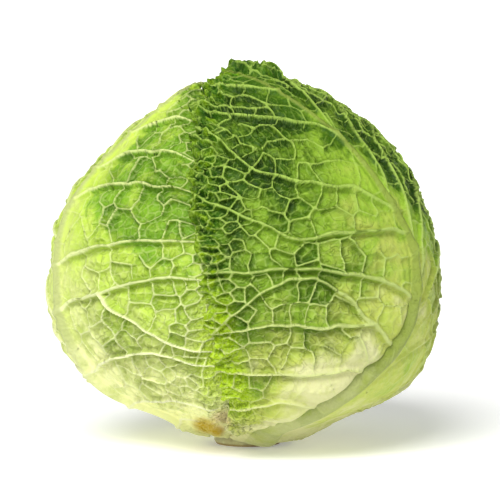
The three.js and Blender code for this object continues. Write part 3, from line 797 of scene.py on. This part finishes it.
def build_leaf(index, sizes):
    """One leaf as a closed shell: a fine outer face, a coarser inner face and the rim."""
    leaf = LEAVES[index]
    steps = leaf["steps"]
    x, y = disc_grid(steps)
    away = np.hypot(x, y)
    unit_u = np.where(away > 0, x / np.maximum(away, 1e-9), 0.0)
    unit_v = np.where(away > 0, y / np.maximum(away, 1e-9), 1.0)
    reach = inside_margin(leaf, unit_u, unit_v) + 2.0
    reach = reach + SCALLOP * margin_wave(leaf, unit_u, unit_v, WAVE_LENGTH)
    reach = reach + 0.5 * margin_wave(leaf, unit_u, unit_v, NOTCH_LENGTH) * ease(away, 0.9, 1.0)
    u, v = unit_u * away * reach, unit_v * away * reach
    middles = cell_middles(leaf, lateral_lines(leaf), sizes.cell)
    u, v = onto_veins(leaf, u, v, middles, LEAF_WIDTH / steps)
    curled = ease(inside_margin(leaf, u, v), 10, 2) * 1.4
    u = u + curled * noise(u, v, 4.2, leaf["seed"] + 41)
    v = v + curled * noise(u, v, 4.2, leaf["seed"] + 42)
    relief = leaf_relief(leaf, index, u, v, middles, sizes)
    outer = relief["leaned"] * relief["reach"][..., None]
    depth = lowest_near(relief["reach"], INNER_STEP - 1) - sizes.blade
    thin = slice(None, None, INNER_STEP)
    inner = (relief["dirs"] * depth[..., None])[thin, thin]
    points = np.concatenate((outer.reshape(-1, 3), inner.reshape(-1, 3)))
    points[:, 2] += CENTRE_HEIGHT
    coarse = steps // INNER_STEP
    start = outer.shape[0] * outer.shape[1]
    faces = grid_faces(steps).tolist() + grid_faces(coarse, start, flip=True).tolist()
    rim = grid_edge(steps)
    inner_rim = grid_edge(coarse, start)
    for k, first in enumerate(inner_rim):
        following = inner_rim[(k + 1) % len(inner_rim)]
        outer_part = [rim[(INNER_STEP * k + m) % len(rim)] for m in range(INNER_STEP + 1)]
        faces.append([int(n) for n in outer_part[::-1]] + [int(first), int(following)])
    shares = {name: np.concatenate((relief[name].ravel(), relief[name][thin, thin].ravel()))
              for name in MEASURES}
    return new_mesh_object(leaf["node"] + "_crinkled", points, faces, shares)


# ---------------------------------------------------------------- the heart and the stem

def build_heart():
    """The tight inner leaves as one closed skin, folded and crinkled at the crown."""
    rings, sides = 90, 240
    up = math.pi * (np.arange(1, rings) / rings - 0.5)
    turn = 2 * math.pi * np.arange(sides) / sides
    up, turn = np.meshgrid(up, turn, indexing="ij")
    dirs = np.stack((np.cos(up) * np.cos(turn), np.cos(up) * np.sin(turn), np.sin(up)), axis=-1)
    poles = np.array([[0.0, 0.0, -1.0], [0.0, 0.0, 1.0]])
    dirs = np.concatenate((poles[:1], dirs.reshape(-1, 3), poles[1:]))
    total, _ = covers(len(LEAVES), dirs)
    crown = ease(np.degrees(np.arcsin(dirs[:, 2])), 40, 62)
    u, v = dirs[:, 0] * HEAD_RADIUS, dirs[:, 1] * HEAD_RADIUS
    edge = fine_cells(u, v, 7.5, 71)
    small = fine_cells(u, v, 3.2, 72)
    fold = 2.0 * np.sin(5 * np.arctan2(dirs[:, 1], dirs[:, 0]) + 9 * dirs[:, 2])
    reach = head_radius(dirs) - LAYER * total - HEART_ROOM
    reach = reach + crown * (fold - 1.6 * ease(edge, 0.2, 2.6) - 0.4 * ease(small, 0.1, 1.2))
    below = np.maximum(-dirs[:, 2], 1e-6)
    reach = np.minimum(reach, (CENTRE_HEIGHT - STEM_TOP - 0.4) / below)
    points = dirs * reach[:, None]
    points[:, 2] += CENTRE_HEIGHT
    shares = dict.fromkeys(MEASURES, 0.0 * crown)
    # the heart's cells are darker away from their edges, as painted shade
    shares.update(
        rib_in=0.6 - edge, midrib_in=-3.0 + 0.0 * crown, net_in=0.6 - edge, small_in=0.3 - small,
        pit=ease(edge, 0.2, 2.6), deep=crown, show=crown, green=0.5 * crown, tip=crown,
        cell=0.5 + 0.0 * crown)
    return new_mesh_object("heart_folded", points, ringed_faces(rings - 1, sides), shares)


def build_stem():
    """The cut stump: a flat knife cut with a ring of vessels, and a ribbed side."""
    rings, sides = 26, 144
    slope = math.tan(STEM_ANGLE)
    face = STEM_RADIUS - STEM_BEVEL
    turn = 2 * math.pi * np.arange(sides) / sides
    rib = 0.25 * np.sin(13 * turn) + 0.15 * np.sin(29 * turn + 1)
    outline = [(face * k / rings, 0.0, 0.0) for k in range(1, rings + 1)]
    outline += [(STEM_RADIUS - STEM_BEVEL * (0.45 + slope), 0.45, 0.4)]
    outline += [(STEM_RADIUS - slope * z, z, 1.0) for z in np.linspace(STEM_BEVEL, STEM_TOP, 14)]
    points = [np.zeros((1, 3))]
    for radius, height, share in outline:
        points.append(ring_points(radius + share * (rib - 0.4), height, turn))
    points.append(np.array([[0.0, 0.0, STEM_TOP]]))
    points = np.concatenate(points)
    return new_mesh_object("stem_cut", points, ringed_faces(len(outline), sides))


# ---------------------------------------------------------------- materials

def linear(hex_colour):
    """An sRGB hex colour as linear red, green, blue and alpha."""
    parts = [int(hex_colour[k:k + 2], 16) / 255 for k in (1, 3, 5)]
    return tuple(c / 12.92 if c <= 0.04045 else ((c + 0.055) / 1.055) ** 2.4 for c in parts) + (1.0,)


def add_node(material, kind, inputs=None, **settings):
    """Adds a node with its settings. An input, by name or number, takes an output or a value."""
    node = material.node_tree.nodes.new(kind)
    for name, value in settings.items():
        setattr(node, name, value)
    for socket, value in (inputs or {}).items():
        if isinstance(value, bpy.types.NodeSocket):
            material.node_tree.links.new(value, node.inputs[socket])
        else:
            node.inputs[socket].default_value = value
    return node


def new_material(name):
    """A material with an empty node tree."""
    material = bpy.data.materials.new(name)
    material.use_nodes = True
    material.node_tree.nodes.clear()
    return material


# What a recipe may do: the node, its inputs in the recipe's order, its output and its settings.
# A ramp takes the range of its first two numbers smoothly onto that of the other two, or 0 to 1.
DOINGS = {
    "mix": ("ShaderNodeMix", (0, 6, 7), 2, {"data_type": "RGBA"}),
    "darken": ("ShaderNodeMix", (0, 6, 7), 2, {"data_type": "RGBA", "blend_type": "MULTIPLY"}),
    "ramp": ("ShaderNodeMapRange", (0, 1, 2, 3, 4), 0, {"interpolation_type": "SMOOTHSTEP"}),
    "times": ("ShaderNodeMath", (0, 1), 0, {"operation": "MULTIPLY"}),
    "plus": ("ShaderNodeMath", (0, 1), 0, {"operation": "ADD"}),
    "minus": ("ShaderNodeMath", (0, 1), 0, {"operation": "SUBTRACT"}),
    "larger": ("ShaderNodeMath", (0, 1), 0, {"operation": "MAXIMUM"}),
    "size": ("ShaderNodeMath", (0,), 0, {"operation": "ABSOLUTE"}),
}


def follow(material, made, recipe):
    """Follows a recipe of rows: the result's name, what to do and with what. That is an output by
    name, an sRGB hex colour, a number or a step of its own in brackets."""
    def value_of(step):
        if isinstance(step, tuple):
            kind, sockets, output, settings = DOINGS[step[0]]
            inputs = dict(zip(sockets, map(value_of, step[1:])))
            return add_node(material, kind, inputs, **settings).outputs[output]
        if isinstance(step, str):
            return linear(step) if step.startswith("#") else made[step]
        return step

    for name, *step in recipe:
        made[name] = value_of(tuple(step))


# Patterns in the leaf. The finest veins really lie about 1 mm apart and the speckles are smaller
# still: both are drawn coarser here, so that they show.
MOTTLE = 14 * MM
WRINKLE = 5.5 * MM
PUCKER = 2.6 * MM
FINEST_NET = 1.7 * MM
SPECKLE = 1.1 * MM

LEAF_RECIPE = (
    # slits between the wrinkles, and hollows of the finest net where the margin curls; both are darkened
    # below as painted shade and sunk in the fine relief
    ("slit", "times", ("ramp", ("size", ("minus", "wrinkle", 0.5)), 0, 0.045, 1, 0), "deep"),
    ("hole", "times", ("ramp", "net", 0.1, 0.35), "margin"),
    # the blade from its pale heel to its green tip
    ("green", "plus", "green", ("ramp", "mottle", 0.3, 0.7, -0.2, 0.2)),
    ("blade", "mix", ("ramp", "green", 0, 0.35), "heel_tint", "pale_tint"),
    ("blade", "mix", ("ramp", "green", 0.3, 0.8), "blade", "mid_tint"),
    ("blade", "mix", ("ramp", "green", 0.82, 1.12), "blade", "deep_tint"),
    # the waved margin, with a painted highlight on the crests of its curls and a pale line along its
    # edge
    ("curled", "mix", ("ramp", "tip", 0.42, 0.8), "margin_heel_tint", "margin_tint"),
    ("blade", "mix", ("times", "margin", 0.9), "blade", "curled"),
    ("blade", "mix", ("times", "rim", 0.85), "blade", "margin_heel_tint"),
    # the finest net
    ("vein", "mix", "tip", "vein_heel_tint", "vein_tint"),
    ("blade", "mix", ("times", ("ramp", "net", 0, 0.14, 1, 0), 0.05), "blade", "vein"),
    # shade in the cells, slits and hollows
    ("shade", "times", "pit", ("larger", "margin", ("ramp", "cell", 0, 1, 0.6, 0.95))),
    ("shade", "larger", "shade", ("times", "slit", 0.5)),
    ("shade", "larger", "shade", ("times", "hole", ("ramp", "tip", 0, 1, 0.2, 0.8))),
    ("blade", "darken", "shade", "blade", "cell_tint"),
    # the veins of the net, the side ribs and the midrib
    ("blade", "mix", ("times", ("ramp", "small_in", -0.35, 0.15, 0, 0.3), "show"), "blade", "vein"),
    ("blade", "mix", ("times", ("ramp", "net_in", -0.3, 0.1, 0, 0.85), "show"), "blade", "vein"),
    ("blade", "mix", ("ramp", "rib_in", -0.35, 0.35, 0, 0.85), "blade", "vein"),
    ("along", "ramp", "tip", 0, 0.5, 0.25, 0.88),
    ("blade", "mix", ("times", "along", ("ramp", "midrib_in", -0.5, 0.8)), "blade", "midrib_tint"),
    # speckles, and bruises by the heel
    ("blade", "mix", ("ramp", "speckle", 0.35, 0.75, 0, 0.1), "blade", "vein"),
    ("blade", "mix", ("times", "blush", 0.7), "blade", "#d4bd92"),
    ("stain", "times", "stain", ("ramp", "speckle", 0.3, 0.6, 0.75, 1)),
    ("blade", "mix", ("times", "stain", 0.95), "blade", "#b4960c"),
    # the fine relief
    ("fine", "minus", ("times", "speckle", 0.4), "pucker"),
    ("fine", "minus", "fine", ("times", "slit", 0.8)),
    ("fine", "minus", "fine", ("times", "hole", 0.8)),
    ("fine", "plus", "fine", ("times", ("ramp", "net_in", -0.9, 0.3, 0, 0.8), "deep")),
)


def leaf_blade_material(finish, name):
    """Living cabbage leaf: a soft waxy cuticle over a blade whose veins are paler than its cells.

    The wax gives a broad satin gloss. The finest net of veins is in the shader, because it is
    finer than the mesh.
    """
    material = new_material(name)
    made = {key: add_node(material, "ShaderNodeAttribute", attribute_name=key).outputs["Fac"]
            for key in MEASURES}
    made.update((key + "_tint", tuple(getattr(finish, key))) for key in TINTS)
    place = add_node(material, "ShaderNodeTexCoord").outputs["Object"]
    for key, size, detail, roughness, distortion in (
            ("mottle", MOTTLE, 4.0, 0.6, 0.0), ("speckle", SPECKLE, 3.0, 0.6, 0.0),
            ("wrinkle", WRINKLE, 1.5, 0.5, 0.8)):
        made[key] = add_node(material, "ShaderNodeTexNoise", {
            "Vector": place, "Scale": 1 / size, "Detail": detail, "Roughness": roughness,
            "Distortion": distortion}).outputs["Fac"]
    for key, size, feature in (("net", FINEST_NET, "DISTANCE_TO_EDGE"), ("pucker", PUCKER, "SMOOTH_F1")):
        made[key] = add_node(material, "ShaderNodeTexVoronoi", {"Vector": place, "Scale": 1 / size},
                             feature=feature).outputs["Distance"]
    follow(material, made, LEAF_RECIPE)
    bump = add_node(material, "ShaderNodeBump", {"Height": made["fine"], "Strength": 0.7,
                                                 "Distance": 0.9 * MM})
    shader = add_node(material, "ShaderNodeBsdfPrincipled", {
        "Base Color": made["blade"], "Normal": bump.outputs["Normal"], "Roughness": 0.45,
        "IOR": 1.43, "Specular IOR Level": 0.14, "Subsurface Weight": 0.06,
        "Subsurface Radius": (0.8, 1.0, 0.2), "Subsurface Scale": 1.0 * MM})
    add_node(material, "ShaderNodeOutputMaterial", {"Surface": shader.outputs[0]})
    return material


STEM_RECIPE = (
    ("uneven", "plus", "radius", ("ramp", "fibre", 0.3, 0.7, -1.2 * MM, 1.2 * MM)),
    ("pith", "mix", ("ramp", "uneven", 3 * MM, 11 * MM), "#d9cf9c", "#b9a468"),
    # the ring of vessels
    ("ring", "times", ("ramp", "uneven", 9.5 * MM, 11 * MM), ("ramp", "uneven", 13.4 * MM, 12 * MM)),
    ("pith", "mix", ("times", "ring", 0.65), "pith", "#8a7a45"),
    # the rim has dried brown, most where it was cut last
    ("browned", "times", ("ramp", "uneven", 13.5 * MM, 16 * MM), ("ramp", "x", -4 * MM, 7 * MM, 0.3, 1)),
    ("pith", "mix", "browned", "pith", "#6b4722"),
    # the side
    ("side", "mix", ("ramp", "fibre", 0.35, 0.65), "#dcdaa4", "#cfc994"),
    ("colour", "mix", ("ramp", "z", 0.4 * MM, 1.6 * MM), "pith", "side"),
)


def cut_stem_material():
    """Cabbage stump: wet pith cut with a knife, dried to a tan skin with a ring of vessels.

    The cut end is matt and browned, darkest at its rim. The side is paler and faintly ribbed.
    """
    material = new_material("stem_pith")
    place = add_node(material, "ShaderNodeTexCoord").outputs["Object"]
    x, y, z = add_node(material, "ShaderNodeSeparateXYZ", {"Vector": place}).outputs
    flat = add_node(material, "ShaderNodeCombineXYZ", {"X": x, "Y": y}).outputs[0]
    radius = add_node(material, "ShaderNodeVectorMath", {0: flat}, operation="LENGTH").outputs["Value"]
    fibre = add_node(material, "ShaderNodeTexNoise", {
        "Vector": place, "Scale": 1 / (3.5 * MM), "Detail": 5.0, "Roughness": 0.65}).outputs["Fac"]
    made = {"x": x, "z": z, "radius": radius, "fibre": fibre}
    follow(material, made, STEM_RECIPE)
    bump = add_node(material, "ShaderNodeBump", {"Height": fibre, "Strength": 0.6,
                                                 "Distance": 0.6 * MM})
    shader = add_node(material, "ShaderNodeBsdfPrincipled", {
        "Base Color": made["colour"], "Normal": bump.outputs["Normal"], "Roughness": 0.72})
    add_node(material, "ShaderNodeOutputMaterial", {"Surface": shader.outputs[0]})
    return material


def opal_floor_material():
    """Opal acrylic floor: matt and white, lit softly from below so that no shadow on it is hard."""
    material = new_material("studio_opal_acrylic")
    place = add_node(material, "ShaderNodeTexCoord").outputs["Object"]
    grain = add_node(material, "ShaderNodeTexNoise", {"Vector": place, "Scale": 1 / 0.4}).outputs["Fac"]
    made = {"grain": grain}
    follow(material, made, (("colour", "mix", "grain", "#f6f6f4", "#fafaf8"),))
    shader = add_node(material, "ShaderNodeBsdfPrincipled", {
        "Base Color": made["colour"], "Roughness": 0.9, "Emission Color": linear("#fafaf8"),
        "Emission Strength": 0.25})
    add_node(material, "ShaderNodeOutputMaterial", {"Surface": shader.outputs[0]})
    return material


# ---------------------------------------------------------------- settings

def colour_setting(name, description, hex_colour):
    """A colour that a user can pick."""
    return FloatVectorProperty(name=name, description=description, subtype="COLOR", size=4,
                               min=0.0, max=1.0, default=linear(hex_colour))


def length_setting(name, description, *millimetres):
    """A length that a user can change, with its usual, least and greatest value."""
    default, least, greatest = (length * MM for length in millimetres)
    return FloatProperty(name=name, description=description, default=default, min=least, max=greatest,
                         unit="LENGTH")


class CabbageSizes(bpy.types.PropertyGroup):
    """Sizes of the leaves' relief."""
    cell: length_setting("Cell", "Width of a cell of the raised net", 10.5, 6, 30)
    cell_depth: length_setting("Cell depth", "How deep a cell is sunk", 3.1, 0, 4)
    blade: length_setting("Blade", "Thickness of a leaf", 0.7, 0.4, 3)
    frill_width: length_setting("Frill width", "Width of the waved margin", 15, 2, 40)
    frill_height: length_setting("Frill height", "Height of the margin's waves", 4.6, 0, 10)


def in_millimetres(sizes):
    """The lengths of a group of settings, in millimetres."""
    names = sizes.__class__.__annotations__
    return SimpleNamespace(**{name: round(getattr(sizes, name) / MM, 4) for name in names})


TINTS = {
    "heel": "Blade at the heel", "pale": "Blade near the midrib", "mid": "Blade half way out",
    "deep": "Blade at the tip", "margin_heel": "Waved margin near the heel",
    "margin": "Waved margin near the tip", "cell": "Shade inside a cell",
    "vein_heel": "Ribs near the heel", "vein": "Ribs near the tip", "midrib": "Midrib",
}


def finish_group(name, hexes):
    """A group of settings with the colours of one leaf, in the order of the tints."""
    notes = {key: colour_setting(words, f"sRGB colour of: {words.lower()}", hex_colour)
             for (key, words), hex_colour in zip(TINTS.items(), hexes.split())}
    return type(name, (bpy.types.PropertyGroup,), {"__annotations__": notes, "__doc__": "Leaf colours."})


OuterGreen = finish_group("OuterGreenColours", """
    #d4d39c #bac45c #92b534 #345c00 #badb14 #3d7600 #6c8a22 #ccce92 #9ebb52 #7d8d3a""")
OuterLime = finish_group("OuterLimeColours", """
    #f3f5b0 #c3cf74 #c2dc52 #84b424 #c4de38 #6a9a10 #869e30 #eeeec4 #d4e08e #a8b072""")
OuterBack = finish_group("OuterBackColours", """
    #d2d484 #aabe44 #76981c #437000 #a8c81c #487c02 #7a9634 #d6d9a0 #a8c060 #a2b04e""")
InnerLeaf = finish_group("InnerLeafColours", """
    #dcdf8c #b4ca44 #74a018 #3e6c00 #96ba18 #305c00 #6e8c2c #dce0a0 #a8c458 #9cb04a""")


class CabbageSettings(bpy.types.PropertyGroup):
    """Everything that a user can change on the cabbage."""
    sizes: PointerProperty(name="Sizes", description="Sizes of the leaves' relief", type=CabbageSizes)
    green: PointerProperty(name="Green leaf", description="Colours of the leaf over the crown",
                           type=OuterGreen)
    lime: PointerProperty(name="Lime leaf", description="Colours of the pale leaf beside it",
                          type=OuterLime)
    back: PointerProperty(name="Back leaf", description="Colours of the leaf behind", type=OuterBack)
    inner: PointerProperty(name="Inner leaves", description="Colours of the leaves under these",
                           type=InnerLeaf)
    light: FloatProperty(name="Light", description="Strength of the studio light", default=1.0,
                         min=0.1, max=5, subtype="FACTOR")


# ---------------------------------------------------------------- operators

class CABBAGE_OT_leaves(bpy.types.Operator):
    """Grow the five crinkled leaves over the head"""
    bl_idname = "cabbage.leaves"
    bl_label = "Leaves"

    def execute(self, context):
        settings = context.scene.cabbage
        sizes = in_millimetres(settings.sizes)
        finishes = {}
        for index, leaf in enumerate(LEAVES):
            piece = build_leaf(index, sizes)
            kind = leaf["finish"]
            if kind not in finishes:
                finishes[kind] = leaf_blade_material(getattr(settings, kind), "cabbage_leaf_" + kind)
            place_piece(piece, leaf["node"], finishes[kind])
        return {"FINISHED"}


class CABBAGE_OT_heart(bpy.types.Operator):
    """Fold the heart that shows between the leaves at the crown"""
    bl_idname = "cabbage.heart"
    bl_label = "Heart"

    def execute(self, context):
        inner = context.scene.cabbage.inner
        place_piece(build_heart(), "heart", leaf_blade_material(inner, "cabbage_heart_leaf"))
        return {"FINISHED"}


class CABBAGE_OT_stem(bpy.types.Operator):
    """Cut the stem under the head"""
    bl_idname = "cabbage.stem"
    bl_label = "Cut stem"

    def execute(self, context):
        place_piece(build_stem(), "stem", cut_stem_material())
        return {"FINISHED"}


class CABBAGE_OT_stage(bpy.types.Operator):
    """Set the floor, the soft lights and the camera"""
    bl_idname = "cabbage.stage"
    bl_label = "Stage"

    def execute(self, context):
        build_floor()
        build_lights(context.scene.cabbage.light)
        build_camera()
        return {"FINISHED"}


class CABBAGE_PT_panel(bpy.types.Panel):
    """Lists the cabbage's pieces and settings"""
    bl_idname = "CABBAGE_PT_panel"
    bl_label = "Savoy Cabbage"
    bl_space_type = "VIEW_3D"
    bl_region_type = "UI"
    bl_category = "Cabbage"

    def draw(self, context):
        settings = context.scene.cabbage
        for operator in OPERATORS:
            self.layout.operator(operator.bl_idname)
        for group in (settings.sizes, settings.green, settings.lime, settings.back, settings.inner):
            box = self.layout.box()
            for name in group.__class__.__annotations__:
                box.prop(group, name)
        self.layout.prop(settings, "light")


OPERATORS = (CABBAGE_OT_leaves, CABBAGE_OT_heart, CABBAGE_OT_stem, CABBAGE_OT_stage)
CLASSES = (CabbageSizes, OuterGreen, OuterLime, OuterBack, InnerLeaf, CabbageSettings,
           CABBAGE_PT_panel) + OPERATORS


def place_piece(piece, node, material):
    """Gives a piece its material, and lets it ride on the body and stand for its node."""
    piece.data.materials.append(material)
    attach(piece, "root")
    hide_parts(node)


# ---------------------------------------------------------------- stage

def build_floor():
    """A wide pale floor that sweeps up softly far from the cabbage on every side."""
    rings, sides = 40, 96
    turn = 2 * math.pi * np.arange(sides) / sides
    points = [np.zeros((1, 3))]
    for r in np.linspace(0.1, FLOOR_RADIUS, rings):
        rise = SWEEP_HEIGHT * float(ease(np.array(r), SWEEP_START, FLOOR_RADIUS))
        points.append(ring_points(r, rise, turn))
    faces = [face[::-1] for face in ringed_faces(rings, sides, closed=False)]
    floor = new_mesh_object("studio_floor", np.concatenate(points) / MM, faces)
    floor.data.materials.append(opal_floor_material())


def build_lights(strength):
    """A wide soft key from the upper left, a low fill and a pale room. Colours show as they are."""
    key = bpy.data.lights.new("key", "SUN")
    key.angle = math.radians(KEY_SPREAD)
    key.energy = KEY_POWER * strength
    new_object("key", key, facing=-Vector(KEY_FROM))
    fill = bpy.data.lights.new("fill_front", "AREA")
    fill.shape = "SQUARE"
    fill.size = FILL_SIZE
    fill.energy = FILL_POWER * strength
    new_object("fill_front", fill, FILL_PLACE, Vector(FILL_TARGET) - Vector(FILL_PLACE))
    world = bpy.data.worlds.new("pale_room")
    world.use_nodes = True
    background = world.node_tree.nodes["Background"]
    background.inputs["Color"].default_value = linear("#f7f9fb")
    background.inputs["Strength"].default_value = ROOM_POWER * strength
    bpy.context.scene.world = world
    bpy.context.scene.view_settings.view_transform = "Standard"


def build_camera():
    """A long lens a little above the middle of the head."""
    data = bpy.data.cameras.new("camera")
    data.sensor_width = SENSOR_WIDTH
    data.lens = SENSOR_WIDTH * CAMERA_DISTANCE / FRAME_WIDTH
    up = math.radians(CAMERA_ELEVATION)
    back = Vector((0, -math.cos(up), math.sin(up)))
    place = Vector(CAMERA_TARGET) + back * CAMERA_DISTANCE
    bpy.context.scene.camera = new_object("camera", data, place, -back)


# ---------------------------------------------------------------- running

def register():
    """Registers the classes and the scene's settings."""
    for cls in CLASSES:
        bpy.utils.register_class(cls)
    bpy.types.Scene.cabbage = PointerProperty(name="Cabbage", description="Savoy cabbage settings",
                                              type=CabbageSettings)


def unregister():
    """Takes the settings and classes away again."""
    del bpy.types.Scene.cabbage
    for cls in reversed(CLASSES):
        bpy.utils.unregister_class(cls)


def main():
    """Makes every piece and the stage, and notes the sizes."""
    register()
    bpy.ops.cabbage.leaves()
    bpy.ops.cabbage.heart()
    bpy.ops.cabbage.stem()
    bpy.ops.cabbage.stage()


if __name__ == "__main__":
    main()
